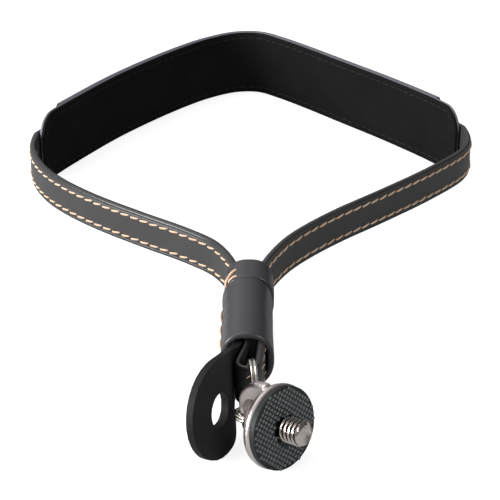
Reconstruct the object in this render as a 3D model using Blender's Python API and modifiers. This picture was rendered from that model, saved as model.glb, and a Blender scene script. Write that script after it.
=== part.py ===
"""A gimbal hand strap: a padded leather wrist loop whose two ends meet in a keeper and a stitched sleeve.
The strap goes on as a small fold that holds a split ring, a second ring links it to the lug of a 1/4 inch
camera screw with a rubber-faced flange, and a round leather tab guards the screw.
The loop stands on its edge, as it lies on a table: X across it, -Y towards the screw, +Z up."""

import math

import bpy
import bmesh
from mathutils import Matrix, Vector
from mathutils.geometry import interpolate_bezier

MM = 0.001
SEAT = 0.3 * MM

# Leather thicknesses and widths
STRAP_WIDTH = 11.2 * MM
STRAP_THICKNESS = 1.9 * MM
SKIVED_THICKNESS = 1.2 * MM
STRAP_EDGE = 0.6 * MM
PAD_WIDTH = 22.5 * MM
PAD_CORNER = 7.0 * MM
LINING_THICKNESS = 0.7 * MM
BASE_THICKNESS = 0.8 * MM
BASE_EDGE = 0.2 * MM
PLY_GAP = 0.1 * MM
PAD_DEPTH = LINING_THICKNESS + BASE_THICKNESS + 2 * PLY_GAP
COVER_EDGE = 2.0 * MM
COVER_LEATHER = 1.0 * MM
COVER_SETBACK = 13.0 * MM
COVER_INSET = 0.25 * MM
COVER_SHOULDER = 0.5 * MM
TAB_THICKNESS = 1.9 * MM
TAB_RADIUS = 12.8 * MM
TAB_LEAN = 0.137
TAB_NECK = 5.2 * MM
TAB_HOLE_RADIUS = 4.3 * MM
TAB_EDGE = 0.35 * MM
TAB_FLARE = 2.3
TAB_TIP_SHARE = 0.12
SLEEVE_LENGTH = 30.0 * MM
SLEEVE_WALL = 1.6 * MM
SLEEVE_CORNER = 3.1 * MM
SLEEVE_SEAM_GAP = 0.35 * MM
SLEEVE_EDGE = 0.5 * MM
KEEPER_LENGTH = 10.0 * MM
KEEPER_WALL = 1.5 * MM
KEEPER_LAP = 6.5 * MM
KEEPER_START = 0.4 * MM
KEEPER_RISE = 5.0 * MM
KEEPER_EDGE = 0.4 * MM
KEEPER_LAP_GAP = 0.15 * MM

# Heights above the table
LOOP_MIDDLE = 0.5 * PAD_WIDTH
TAB_MIDDLE = TAB_RADIUS + 0.1 * MM

# Where the keeper and the sleeve sit along the strap
SLEEVE_REAR = -28.0 * MM
SLEEVE_FRONT = SLEEVE_REAR - SLEEVE_LENGTH
KEEPER_FRONT = SLEEVE_REAR + 0.5 * MM
KEEPER_REAR = KEEPER_FRONT + KEEPER_LENGTH

# The leather layers across the sleeve, from its left wall to its right one
SLEEVE_MIDDLE = -0.8 * MM
LAYER_GAP = 0.3 * MM
SLEEVE_HALF_INSIDE = 5.25 * MM
LEFT_END_X = SLEEVE_MIDDLE - SLEEVE_HALF_INSIDE + LAYER_GAP + 0.5 * STRAP_THICKNESS
TAB_X = LEFT_END_X + 0.5 * STRAP_THICKNESS + LAYER_GAP + 0.5 * TAB_THICKNESS
RETURN_X = TAB_X + 0.5 * TAB_THICKNESS + LAYER_GAP + 0.5 * SKIVED_THICKNESS
RIGHT_X = SLEEVE_MIDDLE + SLEEVE_HALF_INSIDE - LAYER_GAP - 0.5 * STRAP_THICKNESS
SLEEVE_HALF_HEIGHT = 0.5 * STRAP_WIDTH + 0.85 * MM
KEEPER_X = SLEEVE_MIDDLE + 0.6 * MM

# The fold that holds the large ring
FOLD_CENTRE = Vector((-0.5 * MM, -66.9 * MM))
FOLD_RADIUS = 2.65 * MM
FOLD_HEADING = math.radians(2)
FOLD_LEAD = 13.5 * MM
SKIVE_LENGTH = 3.5 * MM
RETURN_END = SLEEVE_FRONT + 16.0 * MM
LEFT_END = SLEEVE_FRONT + 2.0 * MM
TAB_END = SLEEVE_FRONT + 24.0 * MM

# Split rings: mean radius and wire diameter
LARGE_RING_RADIUS = 6.9 * MM
LARGE_RING_WIRE = 0.9 * MM
SMALL_RING_RADIUS = 5.2 * MM
SMALL_RING_WIRE = 0.8 * MM
COIL_GAP = 0.1 * MM
RING_JOG = math.radians(42)
LARGE_RING_NORMAL = Vector((0.992, 0.110, -0.059))
LARGE_RING_SPLIT = math.radians(70)
SMALL_RING_NORMAL = Vector((0.047, 0.26, 0.964))
SMALL_RING_SPLIT = math.radians(200)

# Middles of the rings and of the rubber face, each from the piece that holds it
LARGE_RING_CENTRE = Vector((*FOLD_CENTRE, LOOP_MIDDLE)) + Vector((0.75, -4.0, 0.17)) * MM
SMALL_RING_CENTRE = LARGE_RING_CENTRE + Vector((1.25, -8.85, -2.32)) * MM
DISC_FACE = SMALL_RING_CENTRE + Vector((6.9, -8.75, 1.9)) * MM

# Where each loose piece bears on the one that holds it, and the line about which it swings there
LARGE_RING_PIVOT = LARGE_RING_CENTRE + Vector((-0.551, 4.970, 0)) * MM
LARGE_RING_SWING = Vector((0, 0, 1))
SMALL_RING_PIVOT = SMALL_RING_CENTRE + Vector((-0.739, 2.644, -0.652)) * MM
SMALL_RING_SWING = Vector((0.1008, -0.4269, 0.8987))
ADAPTER_PIVOT = SMALL_RING_CENTRE + Vector((2.424, -4.470, 1.087)) * MM
ADAPTER_SWING = Vector((0.8814, 0.4435, -0.1626))

# Screw adapter
FLANGE_RADIUS = 10.6 * MM
FLANGE_THICKNESS = 2.4 * MM
FLANGE_RIM = 0.3 * MM
FLANGE_ROUND = 0.7 * MM
DISC_RADIUS = 10.4 * MM
DISC_THICKNESS = 1.5 * MM
DISC_RIM = 0.25 * MM
LUG_HALF_HEIGHT = 10.0 * MM
LUG_RISE = 0.8 * MM
LUG_LENGTH = 10.2 * MM
LUG_THICKNESS = 2.8 * MM
LUG_CORNER = 8.4 * MM
LUG_ROUND = 0.9 * MM
LUG_HOLE_HALF_HEIGHT = 5.5 * MM
LUG_HOLE_FRONT = 0.8 * MM
LUG_HOLE_REAR = 8.4 * MM
SCREW_RADIUS = 3.175 * MM
SCREW_PITCH = 1.27 * MM
THREAD_DEPTH = 0.7 * MM
SCREW_REACH = 6.5 * MM
SCREW_TIP = 0.14 * MM
SHANK_RADIUS = 2.4 * MM
SHANK_DEPTH = 1.8 * MM
ADAPTER_TURN = math.radians(45.5)
ADAPTER_TILT = math.radians(11)

# Routes of the strap's middle line and of the pad's inner face, seen from above
PAD_ROUTE = [(-65.5, 69.8), (-62.0, 76.7), (-56.2, 86.5), (-44.5, 104.6), (-31.3, 121.4), (-18.2, 135.4),
             (-9.5, 142.0), (-3.2, 144.6), (3.2, 144.2), (9.0, 139.9), (18.0, 131.3), (31.0, 117.5),
             (44.2, 103.5), (56.2, 89.6), (62.2, 81.6), (65.9, 75.0)]
LEFT_ROUTE = [(-67.9, 60.0), (-63.9, 48.4), (-57.2, 38.2), (-46.0, 26.8), (-31.6, 15.2), (-17.6, 4.6),
              (-9.2, -4.0)]
RIGHT_ROUTE = [(69.0, 67.0), (66.4, 59.6), (61.0, 52.4), (51.2, 41.8), (38.0, 29.0), (25.2, 17.0),
               (14.6, 5.2), (8.6, -4.0)]
TAB_ROUTE = [(-3.3, -59.5), (-4.5, -63.0), (-5.1, -67.0), (-5.3, -73.0), (-6.0, -78.2), (-8.0, -82.9),
             (-11.0, -88.5), (-14.1, -94.1)]
ROUTE_STEP = 3.0 * MM
FOLD_STEP = 0.9 * MM
BAND_STEP = 1.0 * MM
TAB_STEP = 1.6 * MM

# Base colour, roughness and metallic share of each finish, and the finish of each sub-part
FINISHES = {
    "leather": ((0.040, 0.040, 0.043), 0.55, 0.0),
    "sleeve_leather": ((0.060, 0.060, 0.066), 0.45, 0.0),
    "guard_leather": ((0.030, 0.030, 0.031), 0.65, 0.0),
    "suede": ((0.010, 0.010, 0.010), 0.95, 0.0),
    "plated_steel": ((0.42, 0.40, 0.39), 0.30, 1.0),
    "bright_steel": ((0.72, 0.69, 0.66), 0.22, 1.0),
    "rubber": ((0.030, 0.036, 0.038), 0.70, 0.0),
}
FINISH_OF = {
    "hand_strap": "leather", "pad_base": "leather", "pad_cover": "leather", "pad_lining": "suede",
    "sleeve": "sleeve_leather", "keeper": "sleeve_leather", "screw_guard_tab": "guard_leather",
    "adapter_body": "plated_steel", "camera_screw": "bright_steel", "large_split_ring": "bright_steel",
    "small_split_ring": "bright_steel", "rubber_disc": "rubber",
}


def clear_scene():
    for scene_object in list(bpy.data.objects):
        bpy.data.objects.remove(scene_object, do_unlink=True)


def new_collection(name):
    made = bpy.data.collections.new(name)
    bpy.context.scene.collection.children.link(made)
    return made


def material_for(node):
    colour, roughness, metallic = FINISHES[FINISH_OF[node]]
    made = bpy.data.materials.new(node + "_" + FINISH_OF[node])
    made.use_nodes = True
    shader = made.node_tree.nodes["Principled BSDF"]
    shader.inputs["Base Color"].default_value = (*colour, 1.0)
    shader.inputs["Roughness"].default_value = roughness
    shader.inputs["Metallic"].default_value = metallic
    made.diffuse_color = (*colour, 1.0)
    return made


def smooth_route(points, step):
    """Evenly spaced points, step apart, along a smooth curve through the given ones."""
    ends = [2 * points[0] - points[1], *points, 2 * points[-1] - points[-2]]
    dense = [points[0]]
    for before, start, end, after in zip(ends, ends[1:], ends[2:], ends[3:]):
        reach = (end - start).length / 3
        first = start + (end - before).normalized() * reach
        second = end - (after - start).normalized() * reach
        dense += interpolate_bezier(start, first, second, end, 25)[1:]
    return even_route([Vector(p[:2]) for p in dense], step)


def even_route(dense, step):
    lengths = [0.0]
    for first, second in zip(dense, dense[1:]):
        lengths.append(lengths[-1] + (second - first).length)
    count = max(2, round(lengths[-1] / step))
    made = []
    k = 0
    for i in range(count + 1):
        target = lengths[-1] * i / count
        while k < len(lengths) - 2 and lengths[k + 1] < target:
            k += 1
        share = (target - lengths[k]) / max(lengths[k + 1] - lengths[k], 1e-9)
        made.append(dense[k].lerp(dense[k + 1], min(max(share, 0.0), 1.0)))
    return made


def offset_route(route, distance):
    """The route moved sideways, to the left of its direction of travel."""
    moved = []
    for i, point in enumerate(route):
        along = (route[min(i + 1, len(route) - 1)] - route[max(i - 1, 0)]).normalized()
        moved.append(point + Vector((-along.y, along.x)) * distance)
    return moved


def route_lengths(route):
    lengths = [0.0]
    for first, second in zip(route, route[1:]):
        lengths.append(lengths[-1] + (second - first).length)
    return lengths


def arc(centre, radius, start, end, count):
    angles = [start + (end - start) * i / count for i in range(count + 1)]
    return [centre + radius * Vector((math.cos(a), math.sin(a))) for a in angles]


def link(name, mesh, collection):
    made = bpy.data.objects.new(name, mesh)
    made.data.materials.append(material_for(name))
    collection.objects.link(made)
    return made


def strip(name, route, half_width, thickness, edge, collection, share=None):
    """A leather strip on edge: a surface along the route, half_width high each way, given its thickness."""
    work = bmesh.new()
    lengths = route_lengths(route)
    columns = []
    for point, length in zip(route, lengths):
        half = half_width(length, lengths[-1])
        columns.append([work.verts.new((point.x, point.y, z)) for z in (-half, half)])
    for left, right in zip(columns, columns[1:]):
        work.faces.new((left[0], right[0], right[1], left[1]))
    mesh = bpy.data.meshes.new(name)
    work.to_mesh(mesh)
    work.free()
    made = link(name, mesh, collection)
    wall = made.modifiers.new("Thickness", "SOLIDIFY")
    wall.thickness = thickness
    wall.offset = 0.0
    wall.use_even_offset = True
    if share:
        group = made.vertex_groups.new(name="thickness")
        for i, length in enumerate(lengths):
            group.add([2 * i, 2 * i + 1], share(length, lengths[-1]), "REPLACE")
        wall.vertex_group = group.name
    if edge:
        rounding = made.modifiers.new("Rounded edges", "BEVEL")
        rounding.width = edge
        rounding.segments = 2
        rounding.limit_method = "ANGLE"
        rounding.angle_limit = math.radians(50)
    smooth(mesh)
    return made


def smooth(mesh, angle=40):
    mesh.shade_smooth()
    mesh.set_sharp_from_angle(angle=math.radians(angle))


def level(half):
    return lambda length, total: half


def rounded_ends(half, corner):
    """Half width of a strip whose four corners are quarter rounds."""
    def width(length, total):
        inward = corner - min(length, total - length, corner)
        return half - corner + math.sqrt(max(corner ** 2 - inward ** 2, 0.0))
    return width


def with_close_ends(route, corner):
    """Adds points near both ends, so that rounded corners come out smooth."""
    lengths = route_lengths(route)
    total = lengths[-1]
    near = [corner * (1 - math.cos(math.radians(a))) for a in (0, 15, 30, 45, 60, 75, 90)]
    clear = 1.15 * corner
    wanted = near + [s for s in lengths if clear < s < total - clear] + [total - s for s in near]
    made = []
    for target in sorted(wanted):
        k = max(i for i in range(len(lengths) - 1) if lengths[i] <= target + 1e-9)
        share = (target - lengths[k]) / (lengths[k + 1] - lengths[k])
        made.append(route[k].lerp(route[k + 1], min(share, 1.0)))
    return made


def millimetres(points):
    return [Vector(p) * MM for p in points]


def baked(made, collection):
    """The object's evaluated shape as a plain mesh object of the same name and place."""
    graph = bpy.context.evaluated_depsgraph_get()
    mesh = bpy.data.meshes.new_from_object(made.evaluated_get(graph))
    name = made.name
    matrix = made.matrix_world.copy()
    bpy.data.objects.remove(made, do_unlink=True)
    work = bmesh.new()
    work.from_mesh(mesh)
    bmesh.ops.remove_doubles(work, verts=work.verts, dist=1e-6)
    bmesh.ops.recalc_face_normals(work, faces=work.faces)
    work.to_mesh(mesh)
    work.free()
    made = bpy.data.objects.new(name, mesh)
    made.matrix_world = matrix
    collection.objects.link(made)
    smooth(mesh)
    return made


def boolean(target, cutter, operation):
    step = target.modifiers.new(cutter.name, "BOOLEAN")
    step.operation = operation
    step.object = cutter
    return step


def hide_cutter(cutter):
    cutter.hide_render = True
    cutter.display_type = "WIRE"


def make_pad(collection):
    """The two flat layers of the pad, the suede lining and the leather base behind it."""
    inner = smooth_route(millimetres(PAD_ROUTE), ROUTE_STEP)
    layers = (
        ("pad_lining", 0.5 * LINING_THICKNESS, LINING_THICKNESS, 0.0),
        ("pad_base", LINING_THICKNESS + PLY_GAP + 0.5 * BASE_THICKNESS, BASE_THICKNESS, BASE_EDGE),
    )
    for name, depth, thickness, edge in layers:
        route = with_close_ends(offset_route(inner, depth), PAD_CORNER)
        piece = strip(name, route, rounded_ends(0.5 * PAD_WIDTH, PAD_CORNER), thickness, edge, collection)
        piece.location.z = LOOP_MIDDLE
    return inner


def cover_section():
    """Outward distance and height round the cover, with its channel for the strap and its crown behind."""
    half = 0.5 * PAD_WIDTH - COVER_INSET
    channel_half = 0.5 * STRAP_WIDTH + SEAT
    channel_depth = STRAP_THICKNESS + 2 * LAYER_GAP
    rise = channel_depth + COVER_LEATHER - COVER_EDGE
    level_half = half - COVER_SHOULDER
    trim = 0.3 * COVER_SHOULDER
    section = [(0.0, -half), (0.0, -channel_half), (channel_depth, -channel_half),
               (channel_depth, channel_half), (0.0, channel_half), (0.0, half),
               (COVER_EDGE - COVER_SHOULDER, half), (COVER_EDGE - trim, half - trim),
               (COVER_EDGE, level_half)]
    for i in range(1, 8):
        height = level_half * (1 - 0.25 * i)
        share = min(1.0, 1.5 * math.cos(0.5 * math.pi * height / level_half))
        section.append((COVER_EDGE + rise * math.sin(0.5 * math.pi * share), height))
    return section + [(COVER_EDGE, -level_half), (COVER_EDGE - trim, trim - half),
                      (COVER_EDGE - COVER_SHOULDER, -half)]


def make_cover(inner, collection):
    """The padded outer layer: one section, with a channel for the strap, swept along the pad's back."""
    lengths = route_lengths(inner)
    kept = [p for p, s in zip(inner, lengths) if COVER_SETBACK < s < lengths[-1] - COVER_SETBACK]
    route = offset_route(kept, PAD_DEPTH)
    section = cover_section()
    work = bmesh.new()
    rings = []
    for i, point in enumerate(route):
        along = (route[min(i + 1, len(route) - 1)] - route[max(i - 1, 0)]).normalized()
        out = Vector((-along.y, along.x))
        rings.append([work.verts.new((*(point + out * n), z)) for n, z in section])
    count = len(section)
    for first, second in zip(rings, rings[1:]):
        for k in range(count):
            work.faces.new((first[k], first[(k + 1) % count], second[(k + 1) % count], second[k]))
    work.faces.new(rings[0][::-1])
    work.faces.new(rings[-1])
    bmesh.ops.triangulate(work, faces=[f for f in work.faces if len(f.verts) > 4])
    bmesh.ops.recalc_face_normals(work, faces=work.faces)
    mesh = bpy.data.meshes.new("pad_cover")
    work.to_mesh(mesh)
    work.free()
    smooth(mesh)
    made = link("pad_cover", mesh, collection)
    made.location.z = LOOP_MIDDLE


def strap_route(inner):
    """The middle line of the whole strap, from its end in the sleeve round the pad to the fold and back."""
    back = offset_route(inner, PAD_DEPTH + LAYER_GAP + 0.5 * STRAP_THICKNESS)
    keeper_half = 0.5 * STRAP_THICKNESS + LAYER_GAP
    left = millimetres(LEFT_ROUTE) + [
        Vector((KEEPER_X - SLEEVE_HALF_INSIDE + keeper_half + 0.3 * MM, KEEPER_REAR)),
        Vector((KEEPER_X - SLEEVE_HALF_INSIDE + keeper_half + 0.1 * MM, KEEPER_FRONT)),
        Vector((LEFT_END_X, SLEEVE_REAR - 6 * MM)), Vector((LEFT_END_X, SLEEVE_REAR - 14 * MM)),
        Vector((LEFT_END_X, LEFT_END))]
    right = millimetres(RIGHT_ROUTE) + [
        Vector((KEEPER_X + SLEEVE_HALF_INSIDE - keeper_half - 0.5 * MM, KEEPER_REAR)),
        Vector((RIGHT_X, KEEPER_FRONT)), Vector((RIGHT_X, SLEEVE_REAR - 12 * MM)),
        Vector((RIGHT_X, SLEEVE_FRONT + 3 * MM))]
    ahead = math.radians(-90) - FOLD_HEADING
    fold = arc(FOLD_CENTRE, FOLD_RADIUS, ahead + math.radians(95), ahead - math.radians(95), 10)
    back_leg = [Vector((RETURN_X, SLEEVE_FRONT + 1 * MM)), Vector((RETURN_X, SLEEVE_FRONT + 8 * MM)),
                Vector((RETURN_X, RETURN_END))]
    coarse = left[::-1] + back + right
    run = smooth_route(coarse, ROUTE_STEP)
    tail = smooth_route([right[-1], *fold, *back_leg], FOLD_STEP)
    return run + tail[1:], route_lengths(tail)[-1] - FOLD_LEAD


def oval(half_x, half_z, corner):
    """A rounded rectangle as closed points, starting on its left side, going up and round to the right."""
    points = []
    for cx, cz, first in ((-1, 1, 180), (1, 1, 90), (1, -1, 0), (-1, -1, -90)):
        centre = Vector((cx * (half_x - corner), cz * (half_z - corner)))
        points += arc(centre, corner, math.radians(first), math.radians(first - 90), 6)
    return points


def wrapped(name, outline, length, front, wall, edge, collection):
    """Leather wrapped round the straps: the outline stands across the strap and runs along it."""
    piece = strip(name, outline, level(0.5 * length), wall, edge, collection)
    piece.rotation_euler = (math.radians(90), 0, 0)
    piece.location = (0, front + 0.5 * length, LOOP_MIDDLE)
    return piece


def make_sleeve(collection):
    """A tube round the strap's two ends, its edges a narrow seam apart on the left."""
    half_x = SLEEVE_HALF_INSIDE + 0.5 * SLEEVE_WALL
    half_z = SLEEVE_HALF_HEIGHT + 0.5 * SLEEVE_WALL
    outline = oval(half_x, half_z, SLEEVE_CORNER)
    seam_x = -half_x
    closing = [Vector((seam_x, 0.5 * SLEEVE_SEAM_GAP)), *outline, Vector((seam_x, -0.5 * SLEEVE_SEAM_GAP))]
    outline = [p + Vector((SLEEVE_MIDDLE, 0)) for p in closing]
    wrapped("sleeve", outline, SLEEVE_LENGTH, SLEEVE_FRONT, SLEEVE_WALL, SLEEVE_EDGE, collection)


def make_keeper(collection):
    """A short band wound once round the straps, its end lapped over its start on the upper left."""
    half_x = SLEEVE_HALF_INSIDE + 0.5 * KEEPER_WALL
    half_z = SLEEVE_HALF_HEIGHT + 0.5 * KEEPER_WALL
    outline = oval(half_x, half_z, SLEEVE_CORNER)
    start = Vector((-half_x, KEEPER_START))
    turn = even_route([start, *outline, start], BAND_STEP)
    lengths = route_lengths(turn)
    lap = [p for p, s in zip(turn, lengths) if s < KEEPER_LAP]
    raised = offset_route(lap, KEEPER_WALL + KEEPER_LAP_GAP)
    rising = [p for p, s in zip(turn, lengths) if s < lengths[-1] - KEEPER_RISE]
    end = smooth_route([rising[-1], *raised], BAND_STEP)[1:]
    outline = [p + Vector((KEEPER_X, 0)) for p in rising + end]
    wrapped("keeper", outline, KEEPER_LENGTH, KEEPER_FRONT, KEEPER_WALL, KEEPER_EDGE, collection)


def make_strap(inner, collection):
    """The one long strap, skived thin where its end folds round the large ring."""
    route, tail = strap_route(inner)
    skived = SKIVED_THICKNESS / STRAP_THICKNESS

    def share(length, total):
        past = (length - (total - tail)) / SKIVE_LENGTH
        return 1.0 - (1.0 - skived) * min(max(past, 0.0), 1.0)

    piece = strip("hand_strap", route, level(0.5 * STRAP_WIDTH), STRAP_THICKNESS, STRAP_EDGE, collection,
                  share)
    piece.location.z = LOOP_MIDDLE


def make_tab(collection, cutters):
    """The leather guard for the screw: a narrow neck that widens to a round end with a hole."""
    points = [Vector((TAB_X, TAB_END)), Vector((TAB_X, SLEEVE_FRONT + 4 * MM))] + millimetres(TAB_ROUTE)
    route = smooth_route(points, TAB_STEP)
    lengths = route_lengths(route)
    total = lengths[-1]
    centre_at = total - TAB_RADIUS
    flare = TAB_FLARE * TAB_RADIUS

    def width(length, whole):
        ahead = length - centre_at
        if ahead >= 0:
            return math.sqrt(max(TAB_RADIUS ** 2 - ahead ** 2, (TAB_TIP_SHARE * TAB_RADIUS) ** 2))
        share = min(-ahead / flare, 1.0)
        ease = 0.5 + 0.5 * math.cos(math.pi * share)
        return TAB_NECK + (TAB_RADIUS - TAB_NECK) * ease

    round_end = (0, 12, 24, 36, 48, 58, 67, 75, 83)
    near = [total - TAB_RADIUS * (1 - math.sin(math.radians(a))) for a in round_end]
    wanted = [s for s in lengths if s < centre_at - 1 * MM] + near + [total]
    dense = []
    for target in wanted:
        k = max(i for i in range(len(lengths) - 1) if lengths[i] <= target + 1e-9)
        share = (target - lengths[k]) / (lengths[k + 1] - lengths[k])
        dense.append(route[k].lerp(route[k + 1], min(share, 1.0)))
    piece = strip("screw_guard_tab", dense, width, TAB_THICKNESS, TAB_EDGE, collection)
    rise_to_middle(piece, centre_at, dense)
    k = min(range(len(dense)), key=lambda i: abs(route_lengths(dense)[i] - centre_at))
    along = (dense[k + 1] - dense[k - 1]).normalized()
    hole = cylinder("tab_hole", TAB_HOLE_RADIUS, 6 * TAB_THICKNESS, cutters, 40)
    hole.rotation_euler = (0, math.radians(90) - math.atan(TAB_LEAN), math.atan2(-along.x, along.y))
    hole.location = (dense[k].x, dense[k].y, TAB_MIDDLE)
    boolean(piece, hole, "DIFFERENCE")


def rise_to_middle(piece, centre_at, route):
    """Lifts the strip's free end from the strap's middle height to the tab's own."""
    start = [s for s, p in zip(route_lengths(route), route) if p.y > SLEEVE_FRONT][-1]
    lengths = route_lengths(route)
    for vertex in piece.data.vertices:
        k = min(range(len(route)), key=lambda i: (route[i] - Vector(vertex.co[:2])).length)
        share = min(max((lengths[k] - start) / (centre_at - start), 0.0), 1.0)
        share = share * share * (3 - 2 * share)
        vertex.co.x -= TAB_LEAN * share * vertex.co.z
        vertex.co.z += LOOP_MIDDLE + (TAB_MIDDLE - LOOP_MIDDLE) * share


def cylinder(name, radius, depth, collection, sides=48):
    mesh = bpy.data.meshes.new(name)
    work = bmesh.new()
    bmesh.ops.create_cone(work, cap_ends=True, segments=sides, radius1=radius, radius2=radius, depth=depth)
    work.to_mesh(mesh)
    work.free()
    made = bpy.data.objects.new(name, mesh)
    collection.objects.link(made)
    hide_cutter(made)
    return made


def split_ring(name, radius, wire, collection):
    """Two turns of wire lying side by side, the one stepping over to the other, with both ends cut."""
    half_step = 0.5 * (wire + COIL_GAP)
    turns = 4 * math.pi - RING_JOG - 2.2 * wire / radius
    count = 84
    curve = bpy.data.curves.new(name, "CURVE")
    curve.dimensions = "3D"
    curve.bevel_depth = 0.5 * wire
    curve.bevel_resolution = 2
    curve.use_fill_caps = True
    line = curve.splines.new("POLY")
    line.points.add(count)
    for i in range(count + 1):
        angle = turns * i / count
        share = min(max((angle - (2 * math.pi - RING_JOG)) / RING_JOG, 0.0), 1.0)
        side = half_step * (2 * share * share * (3 - 2 * share) - 1)
        line.points[i].co = (radius * math.cos(angle), radius * math.sin(angle), side, 1.0)
    made = bpy.data.objects.new(name, curve)
    collection.objects.link(made)
    made = baked(made, collection)
    made.data.materials.clear()
    made.data.materials.append(material_for(name))
    return made


def turned(name, profile, collection, sides=48):
    """A turned piece: the profile of radius and height, spun about Z."""
    mesh = bpy.data.meshes.new(name)
    work = bmesh.new()
    verts = [work.verts.new((r, 0, z)) for r, z in profile]
    for first, second in zip(verts, verts[1:]):
        work.edges.new((first, second))
    work.to_mesh(mesh)
    work.free()
    made = link(name, mesh, collection)
    spin = made.modifiers.new("Turned", "SCREW")
    spin.steps = sides
    spin.render_steps = sides
    spin.use_merge_vertices = True
    spin.merge_threshold = 0.00001
    spin.use_smooth_shade = True
    return made


def rounded_plate(name, front, rear, half_height, corner, thickness, collection, sides=8):
    """A flat plate in the plane of -Z and Y with rounded rear corners, thick along X."""
    points = [Vector((front, -half_height)), Vector((front, half_height))]
    centre = Vector((rear + corner, half_height - corner))
    points += arc(centre, corner, math.radians(90), math.radians(180), sides)
    centre = Vector((rear + corner, corner - half_height))
    points += arc(centre, corner, math.radians(180), math.radians(270), sides)
    mesh = bpy.data.meshes.new(name)
    work = bmesh.new()
    verts = [work.verts.new((-0.5 * thickness, p.y, p.x)) for p in points]
    face = work.faces.new(verts)
    pushed = bmesh.ops.extrude_face_region(work, geom=[face])
    moved = [g for g in pushed["geom"] if isinstance(g, bmesh.types.BMVert)]
    bmesh.ops.translate(work, verts=moved, vec=(thickness, 0, 0))
    bmesh.ops.recalc_face_normals(work, faces=work.faces)
    work.to_mesh(mesh)
    work.free()
    made = bpy.data.objects.new(name, mesh)
    collection.objects.link(made)
    return made


def adapter_frame():
    """The screw's own axes at the rubber face: local Z points out along the screw."""
    turn = Matrix.Rotation(ADAPTER_TURN, 4, "Z")
    tilt = Matrix.Rotation(math.radians(90) - ADAPTER_TILT, 4, "X")
    return Matrix.Translation(DISC_FACE) @ turn @ tilt


def make_adapter(collection, cutters):
    """Flange and lug in one casting, the screw through it, and the rubber face."""
    hub = bpy.data.objects.new("adapter_axis", None)
    hub.matrix_world = adapter_frame()
    collection.objects.link(hub)
    front = -DISC_THICKNESS - SEAT
    back = front - FLANGE_THICKNESS
    profile = [(0.0, front), (FLANGE_RADIUS - FLANGE_RIM, front), (FLANGE_RADIUS, front - FLANGE_RIM),
               (FLANGE_RADIUS, back + 2 * FLANGE_ROUND),
               (FLANGE_RADIUS - FLANGE_RIM, back + 0.6 * FLANGE_ROUND),
               (FLANGE_RADIUS - FLANGE_ROUND, back), (0.0, back)]
    body = turned("adapter_body", profile, collection, 56)
    lug = rounded_plate("lug_blank", back + 0.2 * FLANGE_THICKNESS, back - LUG_LENGTH, LUG_HALF_HEIGHT,
                        LUG_CORNER, LUG_THICKNESS, cutters)
    rounding = lug.modifiers.new("Rounded edges", "BEVEL")
    rounding.width = LUG_ROUND
    rounding.segments = 3
    rounding.limit_method = "ANGLE"
    rounding.angle_limit = math.radians(50)
    hole = rounded_plate("lug_hole", back - LUG_HOLE_FRONT, back - LUG_HOLE_REAR, LUG_HOLE_HALF_HEIGHT,
                         0.49 * (LUG_HOLE_REAR - LUG_HOLE_FRONT), 3 * LUG_THICKNESS, cutters)
    lug.location.y = LUG_RISE
    hole.location.y = LUG_RISE
    bore = cylinder("screw_bore", SHANK_RADIUS + 0.5 * SEAT, 2 * SHANK_DEPTH, cutters, 32)
    bore.location.z = front
    boolean(body, lug, "UNION")
    for cutter in (hole, bore):
        boolean(body, cutter, "DIFFERENCE")
    for cutter in (lug, hole, bore):
        cutter.parent = hub
        hide_cutter(cutter)
    disc_hole = SCREW_RADIUS + SEAT
    face = [(disc_hole, 0.0), (DISC_RADIUS - DISC_RIM, 0.0), (DISC_RADIUS, -DISC_RIM),
            (DISC_RADIUS, -DISC_THICKNESS), (disc_hole, -DISC_THICKNESS), (disc_hole, 0.0)]
    disc = turned("rubber_disc", face, collection, 56)
    screw = turned("camera_screw", screw_profile(front), collection, 36)
    for piece in (body, disc, screw):
        piece.parent = hub
    return hub


def screw_profile(front):
    """Half section of the screw, from its tip down the ridges of its thread to the end of its shank."""
    core = SCREW_RADIUS - THREAD_DEPTH
    profile = [(0.0, SCREW_REACH), (core - SCREW_TIP, SCREW_REACH),
               (core + 2 * SCREW_TIP, SCREW_REACH - 3 * SCREW_TIP)]
    top = SCREW_REACH - 4 * SCREW_TIP
    while top - SCREW_PITCH > 0:
        profile += [(SCREW_RADIUS, top - 0.10 * SCREW_PITCH), (SCREW_RADIUS, top - 0.22 * SCREW_PITCH),
                    (core, top - 0.62 * SCREW_PITCH), (core, top - 0.78 * SCREW_PITCH)]
        top -= SCREW_PITCH
    end = front - SHANK_DEPTH + SEAT
    profile += [(core, front + SEAT), (SHANK_RADIUS, front + SEAT), (SHANK_RADIUS, end), (0.0, end)]
    return profile


def make_rings(collection):
    rings = (
        ("large_split_ring", LARGE_RING_RADIUS, LARGE_RING_WIRE, LARGE_RING_CENTRE, LARGE_RING_NORMAL,
         LARGE_RING_SPLIT),
        ("small_split_ring", SMALL_RING_RADIUS, SMALL_RING_WIRE, SMALL_RING_CENTRE, SMALL_RING_NORMAL,
         SMALL_RING_SPLIT),
    )
    made = []
    for name, radius, wire, centre, normal, split in rings:
        ring = split_ring(name, radius, wire, collection)
        facing = normal.to_track_quat("Z", "Y").to_matrix().to_4x4()
        ring.matrix_world = Matrix.Translation(centre) @ facing @ Matrix.Rotation(split, 4, "Z")
        made.append(ring)
    return made


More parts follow.
